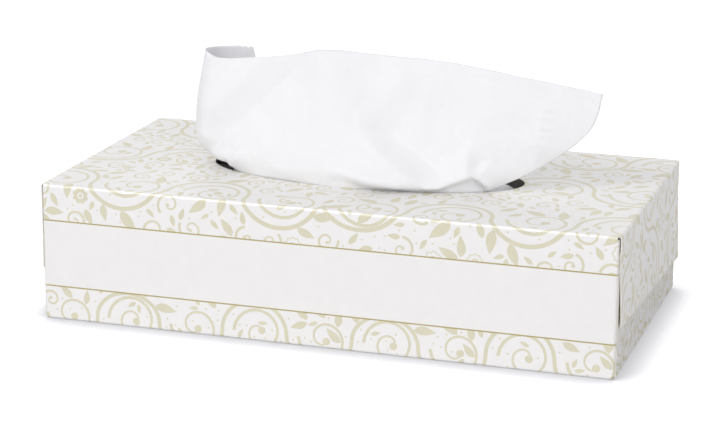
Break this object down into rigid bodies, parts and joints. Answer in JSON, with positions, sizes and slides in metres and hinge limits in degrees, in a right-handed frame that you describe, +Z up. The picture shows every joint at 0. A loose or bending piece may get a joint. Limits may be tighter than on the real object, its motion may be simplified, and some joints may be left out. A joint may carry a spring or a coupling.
{
  "type": "tissue box",
  "caption": "Flat box of facial tissues: folded card carton with a scroll print and an oval top opening, one sheet drawn up out of it.",
  "frame": {"origin": "middle of the carton's base", "axes": "+X along the box's length, +Y from the front panel towards the back, +Z up"},
  "size_m": [0.2426, 0.126, 0.109],
  "materials": {
    "printed_board": "satin",
    "tissue": "matt"
  },
  "bodies": {
    "root": {"carton": "printed_board", "tissue_stack": "tissue", "drawn_tissue": "tissue", "next_tissue": "tissue"}
  },
  "joints": []
}
